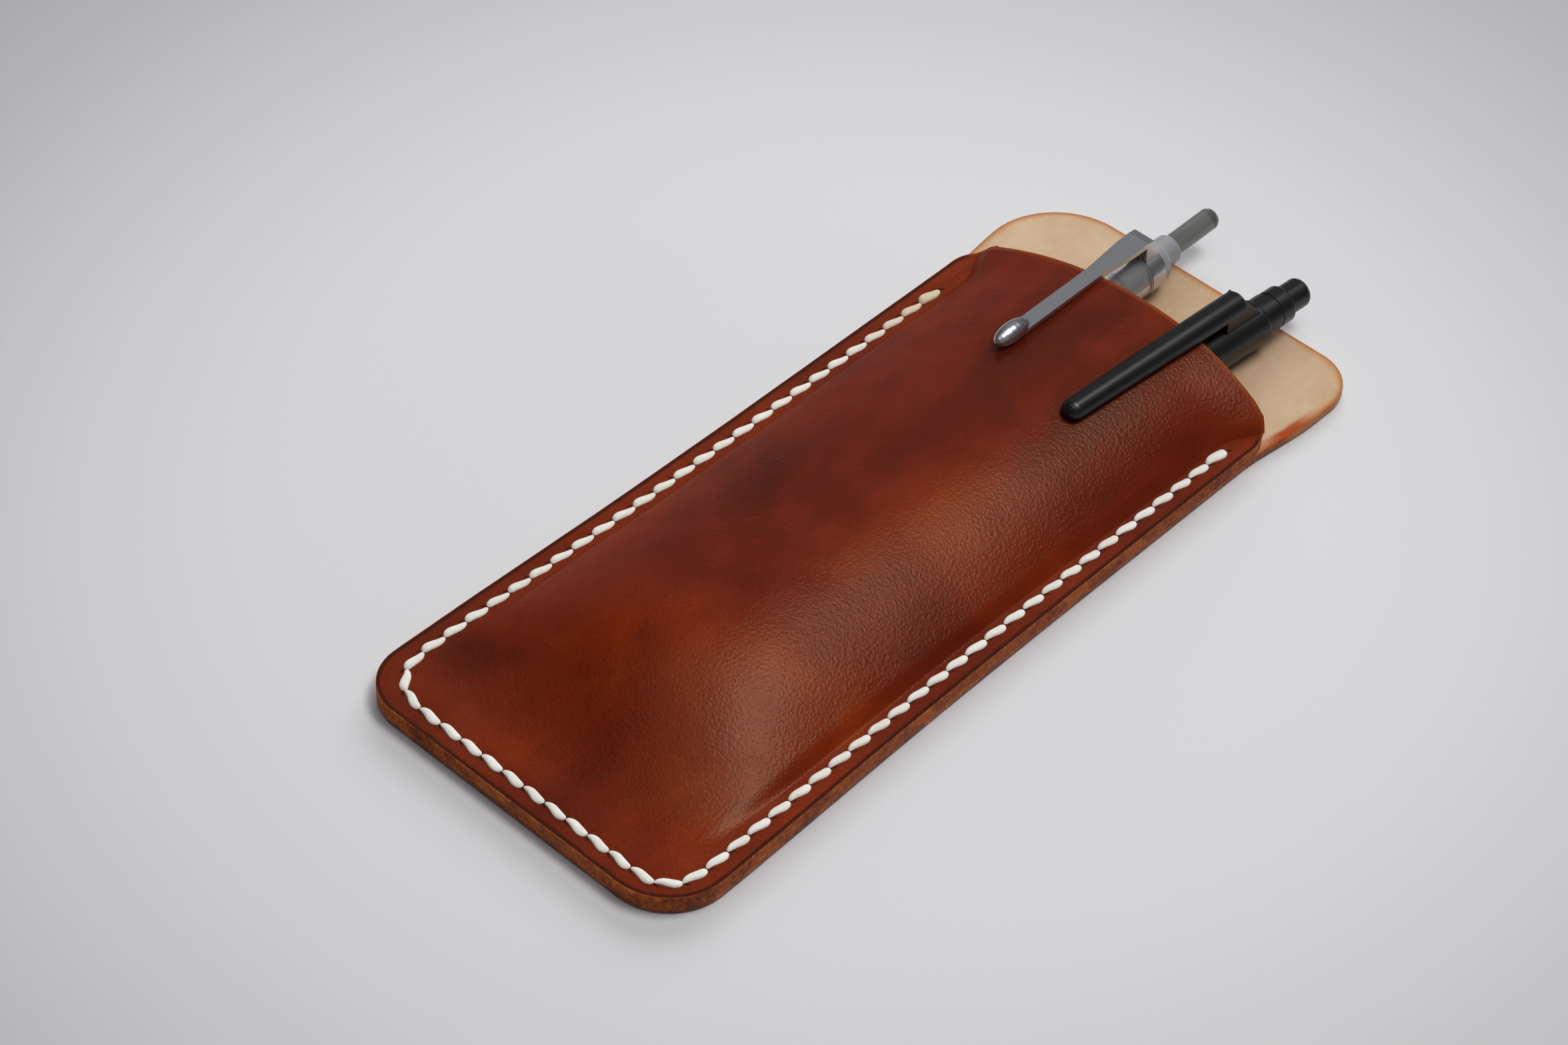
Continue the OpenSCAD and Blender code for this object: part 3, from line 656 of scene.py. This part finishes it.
# A stitch's shape. Its bulge lies a little past its middle, and it narrows to its holes
STITCH_OVERLAP, BULGE_PAST, END_FAT = 0.06, 0.22, 0.34
BULGE_POWER, BULGE_ROUND, TIP_POWER = 2.3, 1.1, 14
FLAT_TOP, LOW_SHARE, HALF_W_SHARE = 0.75, 0.6, 0.58
SWAY, SWAY_OFF, SWAY_CHANGE, WIDTH_CHANGE = 0.2, 0.14, 0.35, 0.1
DIVE, DIVE_POWER, FRONT_SUNK = 0.6, 7, 0.12
TOP_SHARE, UNDER_SHARE = 0.72, 0.5
BACK_MIDDLE, BACK_HALF, BACK_LOWEST, BACK_DIVE = 0.62, 0.55, 0.03, 0.6
AGED_STITCHES, AGED_CHANGE, FIBRE_SHIFT = 5, 0.12, 3.1
FIRST_WIDE, FIRST_LIFT = 1.25, 0.12
LAST_WIDE, LAST_LIFT = 1.2, 0.1


def stitch_section(t):
    """How fat a stitch is at t, which runs from -1 to 1 between its holes, as a share of its fattest."""
    past_bulge = abs(t - BULGE_PAST * (1 - t * t))
    body = END_FAT + (1 - END_FAT) * max(0.0, 1 - past_bulge ** BULGE_POWER) ** BULGE_ROUND
    return body * math.sqrt(1 - abs(t) ** TIP_POWER)


def draw_stitch(piece, points, k, back, wide, lift):
    """Shapes one stitch: flat, fat and slanted between its holes, narrow where it dives into them."""
    a, b = Vector(seam_point(k * PITCH)), Vector(seam_point((k + 1) * PITCH))
    ahead = (b - a).normalized()
    side = Vector((-ahead.y, ahead.x))
    hand_w = 1 + WIDTH_CHANGE * noise.noise(Vector((k * 1.7, 4.0 if back else 0.0, 0)))
    sway_by = SWAY * (1 + SWAY_CHANGE * noise.noise(Vector((k * 2.3, 9.0, 1.0))))
    reach = (b - a).length * (0.5 + STITCH_OVERLAP)
    way = -1 if back else 1
    coords, across, along = [], [], []
    for t, c, s in points:
        fat = stitch_section(t)
        tall = LOW_SHARE + (1 - LOW_SHARE) * fat
        sway = SWAY_OFF + sway_by * math.sin(-math.pi * t) * way
        p = (a + b) / 2 + ahead * (t * reach)
        p += side * (sway + c * fat * wide * hand_w * THREAD_W * HALF_W_SHARE)
        up = math.copysign(abs(s) ** FLAT_TOP, s) * tall if abs(t) < 0.999 else 0.0
        dive = DIVE * abs(t) ** DIVE_POWER
        if back:
            z = max(BACK_LOWEST, THREAD_T * (BACK_MIDDLE - up * BACK_HALF) + dive * BACK_DIVE)
        else:
            thick = THREAD_T * (TOP_SHARE if s > 0 else UNDER_SHARE)
            z = 2 * LEATHER_T - FRONT_SUNK + lift + up * thick - dive
        coords += (p.x * MM, (p.y - BACK_L / 2) * MM, z * MM)
        across.append(c + k * FIBRE_SHIFT)
        along.append(t)
    piece.data.vertices.foreach_set("co", coords)
    point_attribute(piece.data, "across", across)
    point_attribute(piece.data, "along", along)
    aged = max(0.0, 1 - (k + LEFT_N) / AGED_STITCHES)
    aged += AGED_CHANGE * noise.noise(Vector((k * 0.9, 2, 5)))
    point_attribute(piece.data, "aged", [aged] * len(points))
    piece.data.update()


def saddle_stitches(finish):
    """Every stitch on both faces, with a second one over each end of the seam."""
    first, points = one_stitch()
    wanted = [(k, back, 1.0, 0.0) for back in (False, True) for k in range(-LEFT_N, RIGHT_N)]
    wanted += [
        (-LEFT_N, False, FIRST_WIDE, FIRST_LIFT), (RIGHT_N - 1, False, LAST_WIDE, LAST_LIFT)]
    pieces = []
    for k, back, wide, lift in wanted:
        piece = first.copy()
        piece.data = first.data.copy()
        bpy.context.collection.objects.link(piece)
        draw_stitch(piece, points, k, back, wide, lift)
        pieces.append(piece)
    bpy.data.objects.remove(first)
    start_clean()
    for piece in pieces:
        piece.select_set(True)
    bpy.context.view_layer.objects.active = pieces[0]
    bpy.ops.object.join()
    piece = bpy.context.object
    bpy.ops.object.mode_set(mode="EDIT")
    bpy.ops.mesh.select_all(action="SELECT")
    bpy.ops.mesh.normals_make_consistent(inside=False)
    bpy.ops.object.mode_set(mode="OBJECT")
    return finish_piece(piece, "saddle_stitches", "sleeve", finish, ("thread",))


def dress(finishes):
    """Gives each CAD node that shows its own finish."""
    for node, finish in finishes.items():
        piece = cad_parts[node]
        piece.data.materials.clear()
        piece.data.materials.append(finish)


def click_spring(pen, finish):
    """A pen's coil spring, copied from its CAD node and carried with the pen."""
    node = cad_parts[pen + "_spring"]
    piece = bpy.data.objects.new(pen + "_coil", node.data.copy())
    bpy.context.collection.objects.link(piece)
    piece.data.transform(node.matrix_world)
    finish_piece(piece, pen + "_coil", pen + "_pen", finish, (pen + "_spring",))
    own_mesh(piece)


# View, floor and light

EYE = Vector((286.2, -334.85, 448.3)) * MM
AIM = Vector((-12.1, -7.55, -0.3)) * MM
ROLL = math.radians(1.49)
LENS_MM, SENSOR_MM = 96.4, 36.0


def camera():
    data = bpy.data.cameras.new("camera")
    data.lens, data.sensor_width = LENS_MM, SENSOR_MM
    data.clip_start, data.clip_end = 0.05, 20
    eye = bpy.data.objects.new("camera", data)
    bpy.context.collection.objects.link(eye)
    eye.rotation_mode = "QUATERNION"
    eye.location = EYE
    eye.rotation_quaternion = (AIM - EYE).to_track_quat("-Z", "Y") @ Quaternion((0, 0, 1), ROLL)
    bpy.context.scene.camera = eye


FLOOR_SIZE, FLOOR_DROP = 6, 0.00002
# A painted pool of light on the floor: lit colour round the middle, dim colour farther out.
LIT_MIDDLE, LIT_R, DIM_R = (-0.012, -0.008, 0.0), 0.07, 0.21
FLOOR_LIT, FLOOR_DIM = srgb(219, 219, 221), srgb(172, 171, 173)


def floor():
    """A pale surface with a painted pool of light: its colour is darker away from the part."""
    start_clean()
    bpy.ops.mesh.primitive_plane_add(size=FLOOR_SIZE, location=(0, 0, -FLOOR_DROP))
    piece = bpy.context.object
    piece.name = "floor"
    f = Finish("pale paper")
    away = f.node(
        "VectorMath", {"operation": "DISTANCE"}, {0: f.place(), 1: LIT_MIDDLE}, out="Value")
    # Painted pool of light: the floor's colour darkens away from the part.
    tint = f.mix(f.step(away, LIT_R, DIM_R), FLOOR_LIT, FLOOR_DIM)
    piece.data.materials.append(f.done(Base_Color=tint, Roughness=0.7, Specular_IOR_Level=0.2))


def area_light(name, place, size, strength, tint):
    """A soft light that faces the part. Its strength is its power for each square metre."""
    data = bpy.data.lights.new(name, "AREA")
    data.shape, data.size, data.size_y = "RECTANGLE", *size
    data.energy, data.color = strength * size[0] * size[1], tint
    lamp = bpy.data.objects.new(name, data)
    bpy.context.collection.objects.link(lamp)
    lamp.location = place
    lamp.rotation_mode = "QUATERNION"
    lamp.rotation_quaternion = (-Vector(place)).to_track_quat("-Z", "Y")
    return lamp


# Each lamp's name, place, size, strength and tint
LAMPS = (
    ("window", (-0.7, 1.4, 0.8), (1.6, 0.9), 15, (0.97, 0.985, 1)),
    ("far wall", (-1.15, 1.1, 1.05), (1.1, 0.8), 0.85, (0.94, 0.97, 1)),
    ("key", (0.28, 0.34, 1.12), (0.6, 0.4), 28, (1, 0.99, 0.97)),
    ("overhead", (0.1, -0.05, 1.45), (1.3, 1.3), 2.6, (0.97, 0.985, 1)),
    ("side", (1.3, -0.3, 0.7), (0.8, 0.8), 0.75, (1, 0.99, 0.97)))
SKY, SKY_STRENGTH = (0.93, 0.95, 1.0, 1), 0.1


def lights():
    """Soft studio light. The window doesn't show in reflections."""
    world = bpy.data.worlds.new("studio")
    bpy.context.scene.world = world
    world.use_nodes = True
    sky = world.node_tree.nodes["Background"]
    sky.inputs["Color"].default_value = SKY
    sky.inputs["Strength"].default_value = SKY_STRENGTH
    for name, place, size, strength, tint in LAMPS:
        area_light(name, place, size, strength, tint).visible_glossy = name != "window"


camera()
floor()
lights()

front = front_finish()
back = back_finish()
thread = thread_finish()
chrome = metal_finish("bright metal", (0.72, 0.72, 0.75), 0.14)
satin = metal_finish("satin metal", (0.62, 0.62, 0.64), 0.22, 0.1)
steel = metal_finish("spring steel", (0.6, 0.6, 0.62), 0.25)
clear = plastic_finish("clear plastic", (0.86, 0.87, 0.88), 0.08, see_through=0.85)
pale = plastic_finish("pale plastic", srgb(150, 149, 152), 0.2)
smoke = plastic_finish("smoke plastic", srgb(128, 128, 124), 0.12, see_through=0.6)
black = plastic_finish("black plastic", srgb(13, 13, 15), 0.3, texture=0.06)
rubber = plastic_finish("grip rubber", srgb(34, 34, 36), 0.6, texture=0.3)
white = plastic_finish("white plastic", srgb(214, 213, 208), 0.35)
ink = plastic_finish("ink tube", srgb(44, 48, 88), 0.2)

front_leather(front)
back_leather(back)
saddle_stitches(thread)
dress({
    "silver_nose_cone": chrome, "silver_grip": rubber, "silver_barrel": clear,
    "silver_collar": pale, "silver_clip": satin, "silver_button": smoke, "silver_cam": white,
    "silver_refill": ink,
    "black_nose_cone": black, "black_grip": rubber, "black_barrel": black,
    "black_collar": black, "black_clip": black, "black_knob": black, "black_cam": white,
    "black_refill": ink,
})
click_spring("silver", steel)
click_spring("black", steel)

bpy.context.scene.view_settings.view_transform = "Standard"
